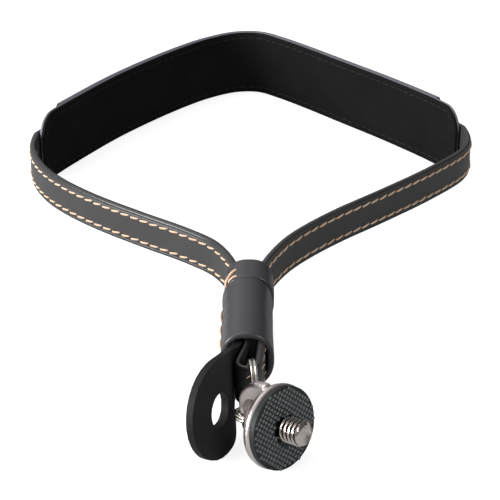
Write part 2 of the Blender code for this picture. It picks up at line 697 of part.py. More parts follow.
def hang(pieces, collection):
    """Hangs each loose piece from an empty on the line about which it swings, in a chain from the strap."""
    swings = (("large_ring_joint", LARGE_RING_PIVOT, LARGE_RING_SWING),
              ("small_ring_joint", SMALL_RING_PIVOT, SMALL_RING_SWING),
              ("adapter_joint", ADAPTER_PIVOT, ADAPTER_SWING))
    holder = None
    for piece, (name, pivot, swing) in zip(pieces, swings):
        joint = bpy.data.objects.new(name, None)
        collection.objects.link(joint)
        joint.matrix_world = Matrix.Translation(pivot) @ swing.to_track_quat("Z", "Y").to_matrix().to_4x4()
        bpy.context.view_layer.update()
        piece.parent = joint
        piece.matrix_parent_inverse = joint.matrix_world.inverted()
        if holder:
            joint.parent = holder
            joint.matrix_parent_inverse = holder.matrix_world.inverted()
        holder = joint


def stand_on_origin(collection):
    """Moves everything so that the origin lies under the middle of the whole, on the table."""
    bpy.context.view_layer.update()
    graph = bpy.context.evaluated_depsgraph_get()
    low = Vector((math.inf,) * 3)
    high = -low
    for piece in collection.objects:
        if piece.type != "MESH":
            continue
        evaluated = piece.evaluated_get(graph)
        mesh = evaluated.to_mesh()
        for vertex in mesh.vertices:
            place = piece.matrix_world @ vertex.co
            low = Vector(map(min, low, place))
            high = Vector(map(max, high, place))
        evaluated.to_mesh_clear()
    middle = Vector((0.5 * (low.x + high.x), 0.5 * (low.y + high.y), low.z))
    for scene_object in bpy.data.objects:
        if scene_object.parent is None:
            scene_object.location -= middle


def main():
    clear_scene()
    strap = new_collection("gimbal_hand_strap")
    cutters = new_collection("cutters")
    inner = make_pad(strap)
    make_cover(inner, strap)
    make_strap(inner, strap)
    make_sleeve(strap)
    make_keeper(strap)
    make_tab(strap, cutters)
    rings = make_rings(strap)
    adapter = make_adapter(strap, cutters)
    hang([*rings, adapter], strap)
    stand_on_origin(strap)


main()
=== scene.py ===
"""Looks of a gimbal hand strap: leather loop, keeper, sleeve, split rings, screw adapter and guard tab."""

import math

import bmesh
import bpy
from mathutils import Matrix, Vector
from mathutils.geometry import interpolate_bezier


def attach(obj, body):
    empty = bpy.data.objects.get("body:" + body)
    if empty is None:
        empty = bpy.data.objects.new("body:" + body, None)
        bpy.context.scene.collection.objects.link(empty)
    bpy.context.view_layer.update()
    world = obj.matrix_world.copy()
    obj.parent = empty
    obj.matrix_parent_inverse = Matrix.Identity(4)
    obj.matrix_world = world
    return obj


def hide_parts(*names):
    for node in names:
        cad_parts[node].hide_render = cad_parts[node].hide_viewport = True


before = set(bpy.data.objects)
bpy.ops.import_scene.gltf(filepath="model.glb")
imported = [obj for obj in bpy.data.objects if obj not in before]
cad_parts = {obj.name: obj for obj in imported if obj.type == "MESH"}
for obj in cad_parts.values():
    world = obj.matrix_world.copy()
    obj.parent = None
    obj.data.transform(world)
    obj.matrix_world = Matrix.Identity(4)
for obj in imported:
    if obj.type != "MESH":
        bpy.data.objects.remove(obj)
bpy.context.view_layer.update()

MM = 0.001
ROOT = "strap"
LARGE_RING = "large_ring"
SMALL_RING = "small_ring"
ADAPTER = "adapter"
# From the frame in which the routes are measured to the part's own one
SHIFT = Vector((-0.3881, -27.0515, 0.0092)) * MM
# Height of the strap's middle line above the table
MIDDLE = 11.25 * MM

# Strap
STRAP_HALF = 5.6 * MM
STRAP_THICK = 1.9 * MM
STRAP_EDGE = 0.7 * MM
STRAP_GROOVE = 0.1 * MM
SKIVED = 1.2 / 1.9
SKIVE_START = 13.5 * MM
SKIVE_LENGTH = 3.5 * MM
STITCH_INSET = 2.1 * MM
STITCH_PITCH = 3.66 * MM
FOLD_CENTRE = Vector((-0.5, -66.9)) * MM
FOLD_RADIUS = 2.65 * MM
FOLD_HEADING = math.radians(2)
FOLD_ROW = 13.5 * MM

# Pad
PAD_HALF = 11.25 * MM
PAD_CORNER = 7.0 * MM
LINING = 0.7 * MM
BASE = 0.8 * MM
PLY_GAP = 0.1 * MM
LAYERS = 1.7 * MM
LAYER_GAP = 0.3 * MM
COVER_SETBACK = 13.0 * MM
COVER_INSET = 0.25 * MM
COVER_EDGE = 2.0 * MM
COVER_LEATHER = 1.0 * MM
COVER_END = 1.2 * MM
CHANNEL_PLAY = 0.6 * MM
PAD_STITCH_PITCH = 3.1 * MM

# Sleeve and keeper: rear and front ends, and half width, half height and power of each outline
SLEEVE = (-28.0 * MM, -58.0 * MM)
SLEEVE_X = -0.8 * MM
SLEEVE_OUTSIDE = (6.85 * MM, 8.05 * MM, 2.25)
SLEEVE_INSIDE = (5.25 * MM, 6.45 * MM, 2.9)
SLEEVE_ROUND = 0.55 * MM
SLEEVE_FLARE = 0.12 * MM
SEAM_HALF = math.radians(2.2)
SEAM_START = 4.0 * MM
SEAM_PITCH = 6.9 * MM
SEAM_DIP = 0.42 * MM
# How far the seam's dip spreads, in steps round the sleeve
SEAM_WIDTH = 9.0
KEEPER = (-17.5 * MM, -27.5 * MM)
KEEPER_X = -0.2 * MM
KEEPER_OUTSIDE = (6.7 * MM, 7.9 * MM, 2.5)
KEEPER_INSIDE = (5.25 * MM, 6.45 * MM, 3.2)
KEEPER_ROUND = 0.5 * MM
KEEPER_BELLY = 0.1 * MM
KEEPER_SEAM = math.radians(146)
KEEPER_SEAM_DEPTH = 0.18 * MM
# First and last angle round the keeper, first and last place along it, and radius of each thick stitch
KEEPER_STITCHES = ((158, 116, -25.9, -22.9, 0.42 * MM), (140, 114, -26.9, -26.6, 0.3 * MM))
# Where a rounded end draws the surface in by more than this, the cut edge shows
BARE_EDGE = 0.1 * MM

# Rings
LARGE_RING_MIDDLE = Vector((0.25, -70.9, 11.42)) * MM
SMALL_RING_MIDDLE = Vector((1.5, -79.75, 9.1)) * MM
COIL_GAP = 0.1 * MM
RING_JOG = math.radians(42)
# Between the two cut ends, in thicknesses of the wire
RING_OPENING = 2.2

# Screw adapter, with its turn and tilt in degrees
DISC_FACE = Vector((8.4, -88.5, 11.0)) * MM
ADAPTER_TURN = 45.5
ADAPTER_TILT = 11
SCREW_REACH = 6.5 * MM
SCREW_FOOT = -3.3 * MM
SCREW_PITCH = 1.27 * MM
SCREW_CORE = 2.3 * MM
THREAD_HEIGHT = 0.87 * MM
THREAD_START = 0.4 * MM
SHANK_RADIUS = 2.4 * MM
SHANK_TOP = -1.2 * MM
TIP_RADIUS = 2.66 * MM
TIP_SLOPE = 1.3
KNURL_PITCH = (1.6 * MM, 0.78 * MM)
KNURL_FIELD = (3.5 * MM, 9.9 * MM)

# Camera, as fitted to the photograph
FOCAL_LENGTH_PX = 1761.0
PHOTO_WIDTH_PX = 500.0
SENSOR_WIDTH = 36.0
CAMERA_RISE = math.radians(28)
CAMERA_AWAY = 0.5
CAMERA_TARGET = Vector((0, 0, 0.0125))

# Routes of middle lines in millimetres, seen from above
PAD_ROUTE = [(-65.5, 69.8), (-62.0, 76.7), (-56.2, 86.5), (-44.5, 104.6), (-31.3, 121.4), (-18.2, 135.4),
             (-9.5, 142.0), (-3.2, 144.6), (3.2, 144.2), (9.0, 139.9), (18.0, 131.3), (31.0, 117.5),
             (44.2, 103.5), (56.2, 89.6), (62.2, 81.6), (65.9, 75.0)]
LEFT_ROUTE = [(-67.9, 60.0), (-63.9, 48.4), (-57.2, 38.2), (-46.0, 26.8), (-31.6, 15.2), (-17.6, 4.6),
              (-9.2, -4.0), (-3.95, -17.5), (-4.1, -27.5), (-4.8, -34.0), (-4.8, -42.0), (-4.8, -56.0)]
RIGHT_ROUTE = [(69.0, 67.0), (66.4, 59.6), (61.0, 52.4), (51.2, 41.8), (38.0, 29.0), (25.2, 17.0),
               (14.6, 5.2), (8.6, -4.0), (3.3, -17.5), (3.2, -27.5), (3.2, -40.0), (3.2, -55.0)]
RETURN_ROUTE = [(-0.75, -57.0), (-0.75, -50.0), (-0.75, -42.0)]
TAB_ROUTE = [(-2.6, -34.0), (-2.6, -54.0), (-3.3, -59.5), (-4.5, -63.0), (-5.1, -67.0), (-5.3, -73.0),
             (-6.0, -78.2), (-8.0, -82.9), (-11.0, -88.5), (-14.1, -94.1)]


# Routes

def millimetres(points):
    return [Vector(p) * MM for p in points]


def smooth_route(points, step):
    """Evenly spaced points, step apart, along a smooth curve through the given ones."""
    ends = [2 * points[0] - points[1], *points, 2 * points[-1] - points[-2]]
    dense = [points[0]]
    for before, start, end, after in zip(ends, ends[1:], ends[2:], ends[3:]):
        reach = (end - start).length / 3
        first = start + (end - before).normalized() * reach
        second = end - (after - start).normalized() * reach
        dense += interpolate_bezier(start, first, second, end, 25)[1:]
    return even_route([Vector(p[:2]) for p in dense], step)


def even_route(dense, step):
    lengths = route_lengths(dense)
    count = max(2, round(lengths[-1] / step))
    made = []
    k = 0
    for i in range(count + 1):
        target = lengths[-1] * i / count
        while k < len(lengths) - 2 and lengths[k + 1] < target:
            k += 1
        share = (target - lengths[k]) / max(lengths[k + 1] - lengths[k], 1e-9)
        made.append(dense[k].lerp(dense[k + 1], clamped(share)))
    return made


def clamped(value):
    return min(max(value, 0.0), 1.0)


def route_lengths(route):
    lengths = [0.0]
    for first, second in zip(route, route[1:]):
        lengths.append(lengths[-1] + (second - first).length)
    return lengths


def sideways(route, i):
    """The unit vector to the left of the route's direction at point i."""
    along = (route[min(i + 1, len(route) - 1)] - route[max(i - 1, 0)]).normalized()
    return Vector((-along.y, along.x))


def offset_route(route, distance):
    return [p + sideways(route, i) * distance for i, p in enumerate(route)]


def straight_route(x, ends, count):
    first, last = ends
    return [Vector((x, first + (last - first) * i / count)) for i in range(count + 1)]


def ended_route(route, corner):
    """The route with points packed towards both ends, for rounded corners."""
    lengths = route_lengths(route)
    total = lengths[-1]
    near = [corner * (1 - math.cos(math.radians(a))) for a in range(0, 91, 9)]
    between = [s for s in lengths if corner * 1.05 < s < total - corner * 1.05]
    made = []
    for target in sorted(near + between + [total - s for s in near]):
        k = max(i for i in range(len(lengths) - 1) if lengths[i] <= target + 1e-9)
        share = (target - lengths[k]) / (lengths[k + 1] - lengths[k])
        made.append(route[k].lerp(route[k + 1], min(share, 1.0)))
    return made


def arc(centre, radius, start, end, count):
    angles = [start + (end - start) * i / count for i in range(count + 1)]
    return [centre + radius * Vector((math.cos(a), math.sin(a))) for a in angles]


# Meshes

def linked(name, data):
    made = bpy.data.objects.new(name, data)
    bpy.context.scene.collection.objects.link(made)
    return made


def mesh_of(name, work):
    mesh = bpy.data.meshes.new(name)
    work.to_mesh(mesh)
    work.free()
    return mesh


def finish_mesh(name, work, materials, smooth=40):
    bmesh.ops.recalc_face_normals(work, faces=work.faces)
    mesh = mesh_of(name, work)
    mesh.transform(Matrix.Translation(SHIFT))
    mesh.shade_smooth()
    mesh.set_sharp_from_angle(angle=math.radians(smooth))
    for material in materials:
        mesh.materials.append(material)
    return linked(name, mesh)


def bridge(work, first, second):
    """Faces between two closed loops with the same number of points."""
    count = len(first)
    return [work.faces.new((first[k], first[(k + 1) % count], second[(k + 1) % count], second[k]))
            for k in range(count)]


def skin(work, loops, slot=lambda i, k: 0):
    """Faces along closed loops and over both ends. slot(i, k) gives the material of face k after loop i."""
    for i, (first, second) in enumerate(zip(loops, loops[1:])):
        for k, face in enumerate(bridge(work, first, second)):
            face.material_index = slot(i, k)
    work.faces.new(loops[0][::-1])
    work.faces.new(loops[-1])


def sweep(name, route, section, materials, smooth=40):
    """A closed section carried along a route. section(i) gives points (sideways, up, material)."""
    work = bmesh.new()
    loops = []
    for i, point in enumerate(route):
        out = sideways(route, i)
        loops.append([work.verts.new((*(point + out * n), MIDDLE + z)) for n, z, _ in section(i)])
    slots = [m for _, _, m in section(len(route) // 2)]
    skin(work, loops, lambda i, k: slots[k])
    return finish_mesh(name, work, materials, smooth)


def tube(name, path, radius, material):
    """A round wire or thread along a path of 3-D points, with slightly chamfered cut ends."""
    around = 14
    end_share = 0.75
    work = bmesh.new()
    loops = []
    side = None
    last = len(path) - 1
    for i, point in enumerate(path):
        along = (path[min(i + 1, last)] - path[max(i - 1, 0)]).normalized()
        if side is None:
            side = along.orthogonal().normalized()
        side = (side - along * side.dot(along)).normalized()
        other = along.cross(side)
        r = radius * (end_share if i in (0, last) else 1.0)
        turns = [2 * math.pi * k / around for k in range(around)]
        loops.append([work.verts.new(point + r * (math.cos(a) * side + math.sin(a) * other)) for a in turns])
    skin(work, loops)
    return finish_mesh(name, work, [material])


# Strap and pad

def band_section(half, thick):
    """Points round a leather band: rounded burnished edges with a pressed line just inside them."""
    quarter = [(math.cos(math.radians(a)), math.sin(math.radians(a))) for a in (0, 22, 45, 68, 90)]
    t = 0.5 * thick
    edge = STRAP_EDGE
    edge_n = min(edge, t * 0.92)
    line = half - edge - 0.25 * MM
    pressed = t - STRAP_GROOVE
    face = [(t, -line, 0), (pressed, -line + 0.16 * MM, 0), (t, -line + 0.34 * MM, 0), (t, -0.5 * half, 0),
            (t, 0.0, 0), (t, 0.5 * half, 0), (t, line - 0.34 * MM, 0), (pressed, line - 0.16 * MM, 0),
            (t, line, 1)]
    top = [(t - edge_n + edge_n * c, half - edge + edge * s, 1) for c, s in quarter]
    points = face + top
    points += [(-n, z, m) for n, z, m in reversed(top)]
    points += [(-n, z, 0) for n, z, _ in reversed(face)]
    points += [(-n, -z, 1) for n, z, _ in top]
    points += [(n, -z, 1) for n, z, _ in reversed(top)]
    return points


def strap_route():
    """The strap's course round the loop to the sleeve's front, and its tail through the fold and back."""
    inner = smooth_route(millimetres(PAD_ROUTE), 3 * MM)
    back = offset_route(inner, LAYERS + LAYER_GAP + 0.5 * STRAP_THICK)
    left = millimetres(LEFT_ROUTE)
    right = millimetres(RIGHT_ROUTE)
    run = smooth_route(left[::-1] + back + right, 0.8 * MM)
    ahead = math.radians(-90) - FOLD_HEADING
    fold = arc(FOLD_CENTRE, FOLD_RADIUS, ahead + math.radians(95), ahead - math.radians(95), 10)
    tail = smooth_route([right[-1], *fold, *millimetres(RETURN_ROUTE)], 0.4 * MM)
    return run, tail


def make_strap():
    """The one long band, skived thin where it turns back round the large ring."""
    run, tail = strap_route()
    route = run + tail[1:]
    lengths = route_lengths(route)
    skive_from = route_lengths(run)[-1] + SKIVE_START
    full = band_section(STRAP_HALF, STRAP_THICK)

    def section(i):
        thin = 1.0 - (1.0 - SKIVED) * clamped((lengths[i] - skive_from) / SKIVE_LENGTH)
        return [(n * thin, z, m) for n, z, m in full]

    strap = sweep("strap_leather", route, section, [LEATHER, BURNISHED])
    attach(strap, ROOT)
    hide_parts("hand_strap")
    return run, tail


def rounded_half(length, total, half=PAD_HALF, corner=PAD_CORNER):
    """Half height of a strip with round corners, at a length along it."""
    inward = corner - min(length, total - length, corner)
    return half - corner + math.sqrt(max(corner ** 2 - inward ** 2, 0.0))


def pad_layer(name, node, inner, depth, thick, edge, materials):
    """One flat layer of the pad with rounded rims, its middle a depth behind the pad's inner face."""
    route = ended_route(offset_route(inner, depth), PAD_CORNER)
    lengths = route_lengths(route)
    turn = [math.radians(a) for a in (0, 30, 60, 90, 120, 150, 180)]

    def section(i):
        half = rounded_half(lengths[i], lengths[-1])
        near_end = min(lengths[i], lengths[-1] - lengths[i])
        t = 0.5 * thick
        round_end = math.sqrt(max(1 - (1 - min(near_end / edge, 1.0)) ** 2, 0.12))
        points = []
        for sign in (1, -1):
            rim = [(t * math.cos(a) * round_end, sign * (half - edge + edge * math.sin(a)), 1) for a in turn]
            points += rim if sign > 0 else rim[::-1]
            points[-1] = (*points[-1][:2], 0)
            points += [(-sign * t * round_end, sign * f * (half - edge), 0) for f in (0.55, 0.0, -0.55)]
        return points

    layer = sweep(name, route, section, materials)
    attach(layer, ROOT)
    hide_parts(node)


def make_cover(inner):
    """The padded outer layer with its channel for the strap, crowned, and pulled in along its seams."""
    lengths = route_lengths(inner)
    kept = [p for p, s in zip(inner, lengths) if COVER_SETBACK < s < lengths[-1] - COVER_SETBACK]
    route = offset_route(kept, LAYERS)
    run = route_lengths(route)
    half = PAD_HALF - COVER_INSET
    channel = STRAP_HALF + LAYER_GAP
    depth = STRAP_THICK + CHANNEL_PLAY
    crown = depth + COVER_LEATHER
    edge = COVER_EDGE
    turns = [math.radians(a) for a in (-60, -25, 10, 40, 65, 90)]

    def rim(a):
        return 0.5 * edge + 0.5 * edge * math.sin(a), half - 0.5 * edge + 0.5 * edge * math.cos(a)

    def section(i):
        near_end = min(run[i], run[-1] - run[i])
        ease = math.sqrt(max(1 - (1 - min(near_end / COVER_END, 1.0)) ** 2, 0.0))
        lift = depth + (0.35 + 0.65 * ease) * (crown - depth)
        points = [(0.0, -half, 1), (0.0, -channel, 1), (depth, -channel, 1), (depth, channel, 1),
                  (0.0, channel, 1)]
        points += [(*rim(a), 1) for a in turns]
        for k in range(1, 24):
            height = (half - 0.5 * edge) * (1 - k / 12)
            rise = min(1.0, 1.45 * math.cos(0.5 * math.pi * height / half))
            seam = math.exp(-((abs(height) - half + 2.3 * MM) / (0.45 * MM)) ** 2) * 0.12 * MM
            points.append((edge + (lift - edge) * math.sin(0.5 * math.pi * rise) - seam, height, 0))
        points += [(rim(a)[0], -rim(a)[1], 1) for a in reversed(turns)]
        return points

    cover = sweep("padded_cover", route, section, [LEATHER, PAD_EDGE])
    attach(cover, ROOT)
    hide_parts("pad_cover")
    return route


# Shading

def new_group(name, inputs):
    """A shader group with the named inputs, its input and output sockets, and object coordinates."""
    group = bpy.data.node_groups.new(name, "ShaderNodeTree")
    for label, value in inputs.items():
        kind = "NodeSocketColor" if isinstance(value, tuple) else "NodeSocketFloat"
        group.interface.new_socket(label, in_out="INPUT", socket_type=kind).default_value = value
    for label, kind in (("Colour", "NodeSocketColor"), ("Roughness", "NodeSocketFloat"),
                        ("Normal", "NodeSocketVector")):
        group.interface.new_socket(label, in_out="OUTPUT", socket_type=kind)
    coords = group.nodes.new("ShaderNodeTexCoord").outputs["Object"]
    return group, group.nodes.new("NodeGroupInput").outputs, group.nodes.new("NodeGroupOutput").inputs, coords


def finish_group(group, end, colour, rough, height, relief, depth):
    """Links colour, roughness and a bump with the given height, strength and depth to the outputs."""
    bump = group.nodes.new("ShaderNodeBump")
    bump.inputs["Distance"].default_value = depth
    group.links.new(relief, bump.inputs["Strength"])
    group.links.new(height, bump.inputs["Height"])
    group.links.new(colour, end["Colour"])
    group.links.new(rough, end["Roughness"])
    group.links.new(bump.outputs["Normal"], end["Normal"])
    return group


def feed(group, value, socket):
    """Links an output to the socket, or sets the socket to a plain value."""
    if isinstance(value, (int, float, tuple)):
        socket.default_value = value
    else:
        group.links.new(value, socket)


def math_node(group, operation, first, second, clamp=False):
    node = group.nodes.new("ShaderNodeMath")
    node.operation = operation
    node.use_clamp = clamp
    feed(group, first, node.inputs[0])
    feed(group, second, node.inputs[1])
    return node.outputs[0]


def noise(group, coords, scale, detail=3.0, rough=0.55, distortion=0.0):
    node = group.nodes.new("ShaderNodeTexNoise")
    node.inputs["Detail"].default_value = detail
    node.inputs["Roughness"].default_value = rough
    node.inputs["Distortion"].default_value = distortion
    feed(group, scale, node.inputs["Scale"])
    group.links.new(coords, node.inputs["Vector"])
    return node.outputs["Fac"]


def mix_colour(group, factor, first, second):
    node = group.nodes.new("ShaderNodeMix")
    node.data_type = "RGBA"
    feed(group, factor, node.inputs["Factor"])
    feed(group, first, node.inputs[6])
    feed(group, second, node.inputs[7])
    return node.outputs[2]


def leather_group():
    """Grain, fine creases and worn patches of smooth leather."""
    group, start, end, coords = new_group(
        "Leather grain", {"Colour": (0.04, 0.04, 0.043, 1), "Grain size": 0.35, "Roughness": 0.5,
                          "Relief": 0.25, "Wear": 0.2})
    scale = math_node(group, "DIVIDE", 1000.0, start["Grain size"])
    cells = group.nodes.new("ShaderNodeTexVoronoi")
    cells.feature = "SMOOTH_F1"
    cells.inputs["Smoothness"].default_value = 0.6
    group.links.new(coords, cells.inputs["Vector"])
    group.links.new(scale, cells.inputs["Scale"])
    fine = noise(group, coords, math_node(group, "MULTIPLY", scale, 2.3), 4.0)
    broad = noise(group, coords, 70.0, 4.0, 0.6, 0.4)
    height = math_node(group, "ADD", math_node(group, "MULTIPLY", cells.outputs["Distance"], 0.7),
                       math_node(group, "MULTIPLY", fine, 0.5))
    worn = math_node(group, "MULTIPLY", math_node(group, "SUBTRACT", broad, 0.42, True), start["Wear"])
    lighter = mix_colour(group, worn, start["Colour"], (0.10, 0.10, 0.106, 1.0))
    pores = math_node(group, "MULTIPLY", cells.outputs["Distance"], 0.35, True)
    colour = mix_colour(group, pores, lighter, (0.004, 0.004, 0.004, 1.0))
    uneven = math_node(group, "MULTIPLY", math_node(group, "SUBTRACT", broad, 0.5), 0.25)
    rough = math_node(group, "ADD", start["Roughness"], uneven, True)
    return finish_group(group, end, colour, rough, height, start["Relief"], 0.06 * MM)


def fibre_group():
    """Short fibres of suede or thread: fine streaky noise on colour, roughness and relief."""
    group, start, end, coords = new_group(
        "Fibres", {"Colour": (0.01, 0.01, 0.01, 1), "Shade": (0.02, 0.02, 0.02, 1), "Fibre size": 0.25,
                   "Roughness": 0.9, "Relief": 0.4})
    scale = math_node(group, "DIVIDE", 1000.0, start["Fibre size"])
    fine = noise(group, coords, scale, 5.0, 0.7, 0.8)
    patch = noise(group, coords, 45.0, 3.0, 0.6, 1.5)
    both = math_node(group, "MULTIPLY", fine, math_node(group, "MULTIPLY", patch, 1.8), True)
    colour = mix_colour(group, both, start["Colour"], start["Shade"])
    rough = math_node(group, "ADD", start["Roughness"], math_node(group, "MULTIPLY", fine, 0.1), True)
    return finish_group(group, end, colour, rough, fine, start["Relief"], 0.12 * MM)


def metal_group():
    """Plated metal: cast unevenness, fine scratches and slight tarnish."""
    group, start, end, coords = new_group(
        "Plated metal", {"Colour": (0.6, 0.57, 0.55, 1), "Tarnish": (0.3, 0.26, 0.23, 1), "Roughness": 0.25,
                         "Unevenness": 0.2})
    cast = noise(group, coords, 900.0, 3.0, 0.5)
    patch = noise(group, coords, 260.0, 5.0, 0.65, 0.6)
    squeeze = group.nodes.new("ShaderNodeMapping")
    squeeze.inputs["Scale"].default_value = (1.0, 1.0, 14.0)
    group.links.new(coords, squeeze.inputs["Vector"])
    scratch = noise(group, squeeze.outputs["Vector"], 420.0, 2.0, 0.5)
    height = math_node(group, "ADD", cast, math_node(group, "MULTIPLY", scratch, 0.4))
    spots = math_node(group, "MULTIPLY", math_node(group, "SUBTRACT", patch, 0.5, True), 2.6, True)
    colour = mix_colour(group, spots, start["Colour"], start["Tarnish"])
    rough = math_node(group, "ADD", start["Roughness"], math_node(group, "MULTIPLY", spots, 0.25), True)
    rough = math_node(group, "ADD", rough, math_node(group, "MULTIPLY", scratch, 0.08), True)
    return finish_group(group, end, colour, rough, height, start["Unevenness"], 0.04 * MM)


def surface(name, group, values, metallic=0.0, specular=0.5):
    material = bpy.data.materials.new(name)
    material.use_nodes = True
    tree = material.node_tree
    shader = tree.nodes["Principled BSDF"]
    shader.inputs["Metallic"].default_value = metallic
    shader.inputs["Specular IOR Level"].default_value = specular
    node = tree.nodes.new("ShaderNodeGroup")
    node.node_tree = group
    for label, value in values.items():
        node.inputs[label].default_value = value
    for label, socket in (("Colour", "Base Color"), ("Roughness", "Roughness"), ("Normal", "Normal")):
        tree.links.new(node.outputs[label], shader.inputs[socket])
    return material


def hide(name, colour, grain, roughness, relief, wear, specular=0.5):
    values = {"Colour": colour, "Grain size": grain, "Roughness": roughness, "Relief": relief, "Wear": wear}
    return surface(name, HIDE, values, specular=specular)


def fibrous(name, colour, shade, size, roughness, relief, specular=0.5):
    values = {"Colour": colour, "Shade": shade, "Fibre size": size, "Roughness": roughness, "Relief": relief}
    return surface(name, FIBRE, values, specular=specular)


def metal(name, colour, tarnish, roughness, unevenness):
    values = {"Colour": colour, "Tarnish": tarnish, "Roughness": roughness, "Unevenness": unevenness}
    return surface(name, METAL, values, metallic=1.0)


def grey(value):
    return (value, value, value, 1.0)


HIDE = leather_group()
FIBRE = fibre_group()
METAL = metal_group()
LEATHER = hide("strap_leather", grey(0.046), 0.34, 0.44, 0.25, 0.15, 0.45)
BURNISHED = hide("burnished_edge", grey(0.032), 0.2, 0.34, 0.12, 0.4)
PAD_EDGE = hide("pad_edge", (0.15, 0.144, 0.170, 1), 0.25, 0.45, 0.2, 0.3)
SLEEVE_LEATHER = hide("sleeve_leather", (0.048, 0.046, 0.053, 1), 0.3, 0.34, 0.16, 0.15, 0.45)
SLEEVE_EDGE = hide("sleeve_edge", grey(0.014), 0.2, 0.55, 0.3, 0.15, 0.35)
GUARD_LEATHER = hide("guard_leather", grey(0.009), 0.28, 0.62, 0.3, 0.08, 0.28)
GUARD_EDGE = hide("guard_edge", grey(0.008), 0.18, 0.6, 0.5, 0.15, 0.2)
SUEDE = fibrous("lining_suede", grey(0.0055), grey(0.012), 0.22, 0.95, 0.5, 0.08)
THREAD = fibrous("tan_thread", (0.52, 0.33, 0.21, 1), (0.92, 0.69, 0.52, 1), 0.12, 0.6, 0.4)
BLACK_THREAD = fibrous("black_thread", grey(0.006), grey(0.022), 0.12, 0.7, 0.4, 0.2)
# Near-black: painted shade inside the needle holes
HOLE_SHADE = fibrous("needle_hole", grey(0.003), grey(0.005), 0.2, 0.9, 0.2, 0.05)
CASTING = metal("plated_casting", (0.78, 0.71, 0.69, 1), (0.44, 0.38, 0.36, 1), 0.27, 0.35)
STEEL = metal("bright_steel", (0.84, 0.80, 0.76, 1), (0.45, 0.37, 0.31, 1), 0.15, 0.15)
SCREW_STEEL = metal("screw_steel", (0.66, 0.61, 0.57, 1), (0.22, 0.18, 0.16, 1), 0.16, 0.5)
# Near-black metal: painted shade in the screw's thread roots and over its foot
THREAD_ROOT_SHADE = metal("painted_thread_root_shade", (0.05, 0.045, 0.042, 1), (0.02, 0.018, 0.016, 1), 0.45, 0.3)
# One rubber in two copies: the smooth disc darker, painted shade on its side wall and between the knurl
# points; the knurl points lighter, painted light reflected from the table
SHADED_DISC_RUBBER = fibrous("smooth_rubber_painted_shade", (0.007, 0.008, 0.009, 1), (0.016, 0.018, 0.019, 1),
                      0.3, 0.45, 0.2, 0.35)
LIT_KNURL_RUBBER = fibrous("knurled_rubber_painted_light", (0.028, 0.034, 0.036, 1), (0.07, 0.081, 0.084, 1),
                 0.3, 0.36, 0.2, 0.55)


# Stitches and other repeats

def stitch_mesh(name, length, width, rise, slant):
    """One stitch of two-ply thread along X, arched over the leather along Z."""
    rings = 14
    around = 8
    twist = 2.5
    work = bmesh.new()
    loops = []
    for i in range(rings + 1):
        u = i / rings
        x = length * (u - 0.5)
        arch = rise * (1 - (2 * u - 1) ** 4) - 0.25 * width
        y = slant * (u - 0.5)
        taper = 0.55 + 0.45 * math.sin(math.pi * min(max(u, 0.04), 0.96)) ** 0.5
        loop = []
        for k in range(around):
            a = 2 * math.pi * k / around
            ply = 1 + 0.16 * math.cos(2 * (a - twist * 2 * math.pi * u))
            loop.append(work.verts.new((x, y + 0.5 * width * taper * ply * math.cos(a),
                                        arch + 0.42 * width * taper * ply * math.sin(a))))
        loops.append(loop)
    skin(work, loops)
    bmesh.ops.recalc_face_normals(work, faces=work.faces)
    mesh = mesh_of(name, work)
    mesh.shade_smooth()
    return linked(name, mesh)


def blunt_point(name, length, width, height):
    """One low pyramid with a blunt top, slightly longer along X: a knurl point, or a flat dark patch of
    painted shade in a needle hole.
    """
    work = bmesh.new()
    low = [work.verts.new((0.5 * length * math.cos(a), 0.5 * width * math.sin(a), -0.1 * height))
           for a in (0, math.pi / 2, math.pi, 3 * math.pi / 2)]
    high = [work.verts.new((0.12 * v.co.x, 0.12 * v.co.y, height)) for v in low]
    bridge(work, low, high)
    work.faces.new(high)
    work.faces.new(low[::-1])
    return linked(name, mesh_of(name, work))


